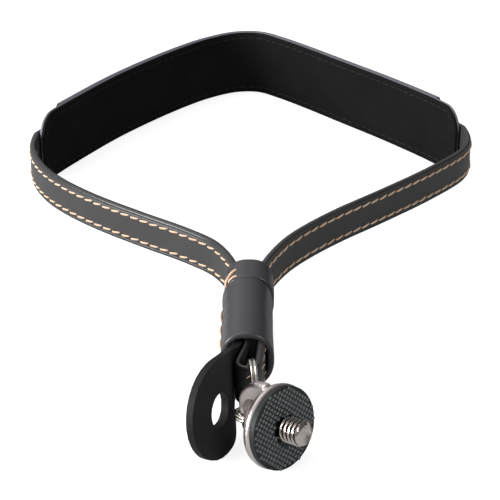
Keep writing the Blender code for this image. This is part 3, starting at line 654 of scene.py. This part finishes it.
def repeat_tree():
    """Copies a template along a row of edges, a pitch apart, turned along the row and to its facing."""
    tree = bpy.data.node_groups.new("Repeat along row", "GeometryNodeTree")
    for label, kind in (("Geometry", "NodeSocketGeometry"), ("Template", "NodeSocketObject"),
                        ("Pitch", "NodeSocketFloat"), ("Jitter", "NodeSocketFloat"),
                        ("Seed", "NodeSocketInt"), ("Material", "NodeSocketMaterial")):
        tree.interface.new_socket(label, in_out="INPUT", socket_type=kind)
    tree.interface.new_socket("Geometry", in_out="OUTPUT", socket_type="NodeSocketGeometry")
    nodes = tree.nodes
    start = nodes.new("NodeGroupInput").outputs
    end = nodes.new("NodeGroupOutput")
    to_curve = nodes.new("GeometryNodeMeshToCurve")
    resample = nodes.new("GeometryNodeResampleCurve")
    resample.mode = "LENGTH"
    info = nodes.new("GeometryNodeObjectInfo")
    tangent = nodes.new("GeometryNodeInputTangent")
    facing = nodes.new("GeometryNodeInputNamedAttribute")
    facing.data_type = "FLOAT_VECTOR"
    facing.inputs["Name"].default_value = "facing"
    along = nodes.new("FunctionNodeAlignRotationToVector")
    along.axis = "X"
    up = nodes.new("FunctionNodeAlignRotationToVector")
    up.axis = "Z"
    up.pivot_axis = "X"
    scatter = nodes.new("GeometryNodeInstanceOnPoints")
    wobble = nodes.new("FunctionNodeRandomValue")
    wobble.data_type = "FLOAT_VECTOR"
    low = nodes.new("ShaderNodeMath")
    low.operation = "MULTIPLY"
    low.inputs[1].default_value = -1.0
    turn = nodes.new("GeometryNodeRotateInstances")
    realise = nodes.new("GeometryNodeRealizeInstances")
    dress = nodes.new("GeometryNodeSetMaterial")
    for output, socket in (
            (start["Geometry"], to_curve.inputs[0]),
            (to_curve.outputs[0], resample.inputs["Curve"]),
            (start["Pitch"], resample.inputs["Length"]),
            (start["Template"], info.inputs[0]),
            (resample.outputs[0], scatter.inputs["Points"]),
            (info.outputs["Geometry"], scatter.inputs["Instance"]),
            (tangent.outputs[0], along.inputs["Vector"]),
            (along.outputs[0], up.inputs["Rotation"]),
            (facing.outputs[0], up.inputs["Vector"]),
            (up.outputs[0], scatter.inputs["Rotation"]),
            (start["Jitter"], low.inputs[0]),
            (low.outputs[0], wobble.inputs["Min"]),
            (start["Jitter"], wobble.inputs["Max"]),
            (start["Seed"], wobble.inputs["Seed"]),
            (scatter.outputs[0], turn.inputs["Instances"]),
            (wobble.outputs["Value"], turn.inputs["Rotation"]),
            (turn.outputs[0], realise.inputs[0]),
            (realise.outputs[0], dress.inputs["Geometry"]),
            (start["Material"], dress.inputs["Material"]),
            (dress.outputs[0], end.inputs[0])):
        tree.links.new(output, socket)
    return tree


def row_object(rows):
    """Edges along each row of (place, facing) pairs, with the facing kept as an attribute."""
    mesh = bpy.data.meshes.new("rows")
    points = []
    facings = []
    edges = []
    for row in rows:
        base = len(points)
        points += [p + SHIFT for p, _ in row]
        facings += [f for _, f in row]
        edges += [(base + i, base + i + 1) for i in range(len(row) - 1)]
    mesh.from_pydata(points, edges, [])
    attribute = mesh.attributes.new("facing", "FLOAT_VECTOR", "POINT")
    attribute.data.foreach_set("vector", [c for f in facings for c in f])
    return linked("rows", mesh)


def repeat(name, rows, template, pitch, material, body, jitter=0.03, seed=1, smooth=True):
    """One piece made of copies of the template along all the rows."""
    holder = row_object(rows)
    step = holder.modifiers.new("Repeat", "NODES")
    step.node_group = REPEAT
    values = {"Template": template, "Pitch": pitch, "Jitter": jitter, "Seed": seed, "Material": material}
    for item in REPEAT.interface.items_tree:
        if item.in_out == "INPUT" and item.name in values:
            step[item.identifier] = values[item.name]
    bpy.context.view_layer.update()
    graph = bpy.context.evaluated_depsgraph_get()
    mesh = bpy.data.meshes.new_from_object(holder.evaluated_get(graph))
    bpy.data.objects.remove(holder, do_unlink=True)
    made = linked(name, mesh)
    if smooth:
        mesh.shade_smooth()
    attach(made, body)


def side_row(route, first, last, height, offset, shift=0.0):
    """A row along one side of a band, offset from its middle line, from one length to another."""
    lengths = route_lengths(route)
    row = []
    for i, point in enumerate(route):
        if first + shift <= lengths[i] <= last:
            out = sideways(route, i)
            facing = out if offset > 0 else -out
            row.append((Vector((*(point + out * offset), MIDDLE + height)), Vector((*facing, 0.0))))
    return row


REPEAT = repeat_tree()
STITCH = stitch_mesh("stitch", 3.2 * MM, 0.64 * MM, 0.26 * MM, 0.5 * MM)
SEAM_STITCH = stitch_mesh("seam_stitch", 5.9 * MM, 0.85 * MM, 0.3 * MM, 0.3 * MM)
SMALL_STITCH = stitch_mesh("small_stitch", 2.5 * MM, 0.4 * MM, 0.1 * MM, 0.1 * MM)
FOLD_STITCH = stitch_mesh("fold_stitch", 3.35 * MM, 0.36 * MM, 0.1 * MM, 0.1 * MM)
HOLE_SHADE_PATCH = blunt_point("needle_hole", 0.62 * MM, 0.5 * MM, 0.05 * MM)
KNURL_POINT = blunt_point("knurl_point", 1.36 * MM, 1.30 * MM, 0.22 * MM)


def make_strap_stitches(run, tail):
    """Rows near both edges: outside up to the cover, inside up to the lining, and on the fold."""
    behind_keeper = -16.5 * MM
    inside_end = 60 * MM
    cover_start = 84 * MM
    cover_end = 95 * MM
    least_cover = 30 * MM
    height = STRAP_HALF - STITCH_INSET
    face = 0.5 * STRAP_THICK + 0.02 * MM
    places = list(zip(route_lengths(run), run))
    keeper_in = next(s for s, p in places if p.y > behind_keeper)
    cover_in = next(s for s, p in places if p.y > cover_start)
    cover_out = next(s for s, p in places if s > cover_in + least_cover and p.y < cover_end and p.x > 0)
    keeper_out = next(s for s, p in places if s > cover_out and p.y < behind_keeper)
    inside_in = next(s for s, p in places if p.y > inside_end)
    inside_out = next(s for s, p in places if s > cover_out and p.y < inside_end)
    rows = []
    hole_shades = []
    for sign in (1, -1):
        for offset, first, last in ((face, cover_in, cover_out), (-face, inside_in, inside_out)):
            for start, end in ((keeper_in, first), (last, keeper_out)):
                rows.append(side_row(run, start, end, sign * height, offset))
                hole_shades.append(side_row(run, start, end, sign * height, offset * 0.99, 0.5 * STITCH_PITCH))
    bight = next(s for s, p in zip(route_lengths(tail), tail) if p.y < -57.0 * MM)
    turned = [side_row(tail, bight, bight + FOLD_ROW, sign * height, face) for sign in (1, -1)]
    # Flat dark patches between the stitches: painted shade in the needle holes
    repeat("needle_holes", hole_shades, HOLE_SHADE_PATCH, STITCH_PITCH, HOLE_SHADE, ROOT, 0.0)
    repeat("strap_stitches", rows, STITCH, STITCH_PITCH, THREAD, ROOT, 0.05)
    repeat("fold_stitches", turned, FOLD_STITCH, STITCH_PITCH, THREAD, ROOT, 0.03, 2)


def make_pad_stitches(inner, back):
    """Black stitches round the lining, just inside its edge, and along the back of the cover."""
    line = 1.9 * MM
    total = route_lengths(inner)[-1]
    front = ended_route(inner, PAD_CORNER)
    lengths = route_lengths(front)
    rows = []
    for sign in (1, -1):
        row = []
        for i, point in enumerate(front):
            if lengths[i] < line or lengths[i] > total - line:
                continue
            height = rounded_half(lengths[i] - line, total - 2 * line, PAD_HALF - line, PAD_CORNER - line)
            out = sideways(front, i)
            row.append((Vector((*(point - out * 0.02 * MM), MIDDLE + sign * height)), Vector((*-out, 0.0))))
        rows.append(row)
    repeat("lining_stitches", rows, SMALL_STITCH, PAD_STITCH_PITCH, BLACK_THREAD, ROOT, 0.04, 3)
    end = route_lengths(back)[-1] - 2 * MM
    rows = [side_row(back, 2 * MM, end, sign * (PAD_HALF - 2.55 * MM), 2.9 * MM) for sign in (1, -1)]
    repeat("cover_stitches", rows, SMALL_STITCH, PAD_STITCH_PITCH, BLACK_THREAD, ROOT, 0.04, 4)


# Sleeve and keeper

def superellipse(half_x, half_z, power, angle):
    c, s = math.cos(angle), math.sin(angle)
    return (half_x * math.copysign(abs(c) ** (2 / power), c),
            half_z * math.copysign(abs(s) ** (2 / power), s))


def edge_inset(along, length, edge):
    """How far a rounded end draws the surface in, at a place along a tube."""
    near = min(along, length - along)
    return edge - math.sqrt(max(edge ** 2 - (edge - min(near, edge)) ** 2, 0.0))


def make_sleeve():
    """A leather tube closed by a thick seam that pulls its two edges into scallops."""
    count = 120
    around = 96
    length = SLEEVE[0] - SLEEVE[1]
    angles = [math.pi - SEAM_HALF - (2 * math.pi - 2 * SEAM_HALF) * k / around for k in range(around + 1)]
    out_x, out_z, out_power = SLEEVE_OUTSIDE
    in_x, in_z, in_power = SLEEVE_INSIDE

    def section(i):
        along = length * i / count
        inset = edge_inset(along, length, SLEEVE_ROUND)
        pull = 0.5 + 0.5 * math.cos(2 * math.pi * (along - SEAM_START) / SEAM_PITCH)
        flare = SLEEVE_FLARE * (along / length) ** 2
        outer = []
        inner = []
        for k, angle in enumerate(angles):
            from_seam = min(k, around - k) / SEAM_WIDTH
            dip = SEAM_DIP * (0.35 + 0.65 * pull) * math.exp(-from_seam ** 2)
            wave = 0.05 * MM * math.sin(3 * angle + 260 * along)
            x, z = superellipse(out_x - inset + flare + wave, out_z - inset + flare, out_power, angle)
            outer.append((x * (1 - dip / out_x), z, 1 if inset > BARE_EDGE or from_seam < 0.12 else 0))
            inner.append((*superellipse(in_x + 0.5 * inset, in_z + 0.5 * inset, in_power, angle), 1))
        return outer + inner[::-1]

    route = straight_route(SLEEVE_X, SLEEVE, count)
    sleeve = sweep("seamed_sleeve", route, section, [SLEEVE_LEATHER, SLEEVE_EDGE], smooth=60)
    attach(sleeve, ROOT)
    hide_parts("sleeve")


def make_seam_stitches():
    """The thick stitches that close the sleeve on its left, each from one pulled-in place to the next."""
    steps = 60
    first = SEAM_START + 0.5 * SEAM_PITCH
    last = 29 * MM
    row = []
    for i in range(steps + 1):
        y = SLEEVE[0] - first - (last - first) * i / steps
        row.append((Vector((SLEEVE_X - SLEEVE_OUTSIDE[0], y, MIDDLE)), Vector((-1.0, 0.0, 0.0))))
    repeat("seam_stitches", [row], SEAM_STITCH, SEAM_PITCH, THREAD, ROOT, 0.04)


def make_keeper():
    """A short round leather band behind the sleeve, closed by two thick stitches on its left shoulder."""
    count = 40
    around = 96
    length = KEEPER[0] - KEEPER[1]
    angles = [2 * math.pi * k / around for k in range(around)]
    out_x, out_z, out_power = KEEPER_OUTSIDE
    in_x, in_z, in_power = KEEPER_INSIDE
    work = bmesh.new()
    loops = []
    insets = []
    for i, point in enumerate(straight_route(KEEPER_X, KEEPER, count)):
        inset = edge_inset(length * i / count, length, KEEPER_ROUND)
        belly = KEEPER_BELLY * math.sin(math.pi * i / count)
        outer = []
        for angle in angles:
            fold = KEEPER_SEAM_DEPTH * math.exp(-((angle - KEEPER_SEAM) / 0.035) ** 2)
            outer.append(superellipse(out_x - inset + belly - fold, out_z - inset + belly - fold,
                                      out_power, angle))
        inner = [superellipse(in_x, in_z, in_power, angle) for angle in angles]
        loops.append([[work.verts.new((point.x + x, point.y, MIDDLE + z)) for x, z in ring]
                      for ring in (outer, inner)])
        insets.append(inset)
    for i in range(count):
        for ring in (0, 1):
            for face in bridge(work, loops[i][ring], loops[i + 1][ring]):
                face.material_index = 1 if ring == 1 or insets[i] > BARE_EDGE else 0
    for end in (loops[0], loops[-1]):
        for face in bridge(work, *end):
            face.material_index = 1
    keeper = finish_mesh("round_keeper", work, [SLEEVE_LEATHER, SLEEVE_EDGE], 60)
    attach(keeper, ROOT)
    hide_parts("keeper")


def make_keeper_stitches():
    """Two thick stitches over the keeper's seam, bent round its left shoulder."""
    steps = 24
    for number, (low, high, start, end, radius) in enumerate(KEEPER_STITCHES, 1):
        path = []
        for k in range(steps + 1):
            u = k / steps
            lift = 0.32 * MM * (1 - abs(2 * u - 1) ** 5) - 0.1 * MM
            x, z = superellipse(6.8 * MM + lift, 8.0 * MM + lift, KEEPER_OUTSIDE[2],
                                math.radians(low + (high - low) * u))
            path.append(Vector((KEEPER_X + x, (start + (end - start) * u) * MM, MIDDLE + z)))
        stitch = tube("keeper_stitch_" + str(number), path, radius, THREAD)
        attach(stitch, ROOT)


# Rings, adapter and guard tab

def make_ring(name, node, body, centre, normal, split, radius, wire):
    """A split ring: nearly two turns of wire, with a step from one to the other and two cut ends."""
    count = 300
    half_step = 0.5 * (wire + COIL_GAP)
    turns = 4 * math.pi - RING_JOG - RING_OPENING * wire / radius
    place = (Matrix.Translation(centre) @ normal.to_track_quat("Z", "Y").to_matrix().to_4x4()
             @ Matrix.Rotation(split, 4, "Z"))
    path = []
    for i in range(count + 1):
        angle = turns * i / count
        share = clamped((angle - (2 * math.pi - RING_JOG)) / RING_JOG)
        side = half_step * (2 * share * share * (3 - 2 * share) - 1)
        path.append(place @ Vector((radius * math.cos(angle), radius * math.sin(angle), side)))
    ring = tube(name, path, 0.5 * wire, STEEL)
    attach(ring, body)
    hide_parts(node)


def adapter_frame():
    """The place of the rubber face, with Z along the screw."""
    turn = Matrix.Rotation(math.radians(ADAPTER_TURN), 4, "Z")
    tilt = Matrix.Rotation(math.radians(90 - ADAPTER_TILT), 4, "X")
    return Matrix.Translation(DISC_FACE) @ turn @ tilt


def make_screw():
    """The camera screw with its helical thread, painted shade in its thread roots and over its foot, and run
    out at a chamfered tip.
    """
    place = adapter_frame()
    around = 56
    rows = 190
    work = bmesh.new()
    loops = []
    for i in range(rows + 1):
        z = SCREW_FOOT + (SCREW_REACH - SCREW_FOOT) * i / rows
        loop = []
        for k in range(around):
            phase = (z / SCREW_PITCH - k / around) % 1.0
            ridge = clamped(1.35 * (1 - abs(2 * phase - 1)) - 0.2)
            ridge *= clamped((z - THREAD_START) / THREAD_START)
            radius = SCREW_CORE + THREAD_HEIGHT * ridge
            radius = min(radius, TIP_RADIUS + TIP_SLOPE * max(SCREW_REACH - z, 0.0))
            if z < SHANK_TOP:
                radius = SHANK_RADIUS
            a = 2 * math.pi * k / around
            loop.append(work.verts.new(place @ Vector((radius * math.cos(a), radius * math.sin(a), z))))
        loops.append(loop)

    # Faces in the thread roots and near the foot get the painted shade
    def slot(i, k):
        z = SCREW_FOOT + (SCREW_REACH - SCREW_FOOT) * (i + 0.5) / rows
        phase = (z / SCREW_PITCH - (k + 0.5) / around) % 1.0
        shaded_root = abs(2 * phase - 1) > 0.42 and z < SCREW_REACH - 0.35 * MM
        return 1 if shaded_root or z < 0.5 * MM else 0

    skin(work, loops, slot)
    screw = finish_mesh("threaded_screw", work, [SCREW_STEEL, THREAD_ROOT_SHADE], 50)
    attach(screw, ADAPTER)
    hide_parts("camera_screw")


def make_knurl():
    """Rows of knurl points over the rubber face, clear of the screw and of the rim, in the lighter copy of
    the rubber as painted light.
    """
    place = adapter_frame()
    axes = place.to_3x3()
    out = axes @ Vector((0, 0, 1))
    pitch_x, pitch_y = KNURL_PITCH
    nearest, furthest = KNURL_FIELD
    rows = []
    for row in range(-13, 14):
        for column in range(-7, 8):
            x = (column + 0.5 * (row % 2)) * pitch_x
            y = row * pitch_y
            if nearest < math.hypot(x, y) < furthest:
                start = place @ Vector((x, y, 0.0))
                rows.append([(start, out), (start + axes @ Vector((0.1 * MM, 0, 0)), out)])
    # The knurl points take the lighter rubber, painted light
    repeat("rubber_knurl", rows, KNURL_POINT, 10 * MM, LIT_KNURL_RUBBER, ADAPTER, 0.02, smooth=False)


def make_tab():
    """The guard tab in its own leather, with a rougher cut edge round it and round its hole."""
    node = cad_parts["screw_guard_tab"]
    mesh = node.data.copy()
    mesh.transform(node.matrix_world)
    mesh.materials.clear()
    for material in (GUARD_LEATHER, GUARD_EDGE):
        mesh.materials.append(material)
    route = smooth_route(millimetres(TAB_ROUTE), 1.0 * MM)
    for face in mesh.polygons:
        spot = (face.center - SHIFT).xy
        i = min(range(len(route)), key=lambda k: (route[k] - spot).length_squared)
        out = Vector((*sideways(route, i), 0.0))
        face.material_index = 1 if abs(face.normal.dot(out)) < 0.8 else 0
    tab = linked("guard_leather_tab", mesh)
    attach(tab, ROOT)
    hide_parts("screw_guard_tab")


def dress_nodes():
    """Materials of the solids that are shown as they are, the rubber disc in the darker copy of the rubber as
    painted shade.
    """
    for node, material in (("adapter_body", CASTING), ("rubber_disc", SHADED_DISC_RUBBER)):
        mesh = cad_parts[node].data
        mesh.materials.clear()
        mesh.materials.append(material)


# World, table, lights and camera

def make_world():
    """Plain white to the camera. The light is graded from left to right and from the table upwards."""
    world = bpy.data.worlds.new("studio")
    bpy.context.scene.world = world
    world.use_nodes = True
    tree = world.node_tree
    tree.nodes.clear()
    out = tree.nodes.new("ShaderNodeOutputWorld")
    mix = tree.nodes.new("ShaderNodeMixShader")
    path = tree.nodes.new("ShaderNodeLightPath")
    seen = tree.nodes.new("ShaderNodeBackground")
    lit = tree.nodes.new("ShaderNodeBackground")
    for background in (seen, lit):
        background.inputs["Color"].default_value = (1, 1, 1, 1)
    coords = tree.nodes.new("ShaderNodeTexCoord")
    split = tree.nodes.new("ShaderNodeSeparateXYZ")
    side = tree.nodes.new("ShaderNodeMapRange")
    side.interpolation_type = "SMOOTHSTEP"
    for label, value in (("From Min", -0.75), ("From Max", 0.75), ("To Min", 0.85), ("To Max", 0.12)):
        side.inputs[label].default_value = value
    ramp = tree.nodes.new("ShaderNodeValToRGB")
    stops = ramp.color_ramp.elements
    for position, value in ((0.08, 0.25), (0.32, 1.0)):
        stops.new(position).color = grey(value)
    stops[0].color = grey(0.5)
    stops[-1].color = grey(0.8)
    tree.links.new(coords.outputs["Generated"], split.inputs[0])
    tree.links.new(split.outputs["X"], side.inputs["Value"])
    tree.links.new(split.outputs["Z"], ramp.inputs[0])
    strength = math_node(tree, "MULTIPLY", side.outputs["Result"], ramp.outputs[0])
    tree.links.new(strength, lit.inputs["Strength"])
    tree.links.new(path.outputs["Is Camera Ray"], mix.inputs[0])
    tree.links.new(lit.outputs[0], mix.inputs[1])
    tree.links.new(seen.outputs[0], mix.inputs[2])
    tree.links.new(mix.outputs[0], out.inputs[0])


def make_table():
    """A matt table that the camera sees as nearly white, with faint shadows."""
    material = bpy.data.materials.new("white_table")
    material.use_nodes = True
    tree = material.node_tree
    shader = tree.nodes["Principled BSDF"]
    shader.inputs["Base Color"].default_value = grey(0.45)
    shader.inputs["Roughness"].default_value = 0.9
    shader.inputs["Specular IOR Level"].default_value = 0.0
    shader.inputs["Emission Color"].default_value = (1, 1, 1, 1)
    path = tree.nodes.new("ShaderNodeLightPath")
    glow = math_node(tree, "MULTIPLY", path.outputs["Is Camera Ray"], 0.8)
    tree.links.new(glow, shader.inputs["Emission Strength"])
    work = bmesh.new()
    bmesh.ops.create_grid(work, x_segments=1, y_segments=1, size=3.0)
    table = linked("table", mesh_of("table", work))
    table.data.materials.append(material)
    table.location.z = -0.2 * MM


def area_light(name, place, target, size, power):
    light = bpy.data.lights.new(name, "AREA")
    light.shape = "DISK"
    light.size = size
    light.energy = power
    made = linked(name, light)
    made.location = place
    made.rotation_euler = (Vector(target) - Vector(place)).to_track_quat("-Z", "Y").to_euler()


def make_camera():
    target = CAMERA_TARGET + SHIFT
    camera = bpy.data.cameras.new("photo_camera")
    camera.sensor_width = SENSOR_WIDTH
    camera.lens = FOCAL_LENGTH_PX / PHOTO_WIDTH_PX * SENSOR_WIDTH
    camera.clip_start = 0.01
    made = linked("photo_camera", camera)
    back = Vector((0, -CAMERA_AWAY * math.cos(CAMERA_RISE), CAMERA_AWAY * math.sin(CAMERA_RISE)))
    made.location = target + back
    made.rotation_euler = (math.radians(90) - CAMERA_RISE, 0, 0)
    bpy.context.scene.camera = made


make_world()
make_table()
area_light("top_light", (-0.25, 0.15, 0.85), (0, 0, 0), 0.6, 3.0)
area_light("left_light", (-0.85, -0.35, 0.28), (0, -0.02, 0.01), 0.45, 12.0)
area_light("right_light", (0.51, -0.65, 0.44), (0, -0.1, 0.01), 0.14, 2.0)
make_camera()
dress_nodes()
run, tail = make_strap()
inner = smooth_route(millimetres(PAD_ROUTE), 1.0 * MM)
pad_layer("suede_lining", "pad_lining", inner, 0.5 * LINING, LINING, 0.3 * MM, [SUEDE, SUEDE])
pad_layer("pad_backing", "pad_base", inner, LINING + PLY_GAP + 0.5 * BASE, BASE, 0.35 * MM,
          [LEATHER, PAD_EDGE])
back = make_cover(inner)
make_strap_stitches(run, tail)
make_keeper()
make_keeper_stitches()
make_sleeve()
make_seam_stitches()
make_ring("large_ring_wire", "large_split_ring", LARGE_RING, LARGE_RING_MIDDLE,
          normal=Vector((0.992, 0.110, -0.059)), split=math.radians(70), radius=6.9 * MM, wire=0.9 * MM)
make_ring("small_ring_wire", "small_split_ring", SMALL_RING, SMALL_RING_MIDDLE,
          normal=Vector((0.047, 0.26, 0.964)), split=math.radians(200), radius=5.2 * MM, wire=0.8 * MM)
make_screw()
make_knurl()
make_tab()
make_pad_stitches(inner, back)
for template in (STITCH, SMALL_STITCH, SEAM_STITCH, FOLD_STITCH, HOLE_SHADE_PATCH, KNURL_POINT):
    bpy.data.objects.remove(template, do_unlink=True)
bpy.context.scene.view_settings.view_transform = "Standard"
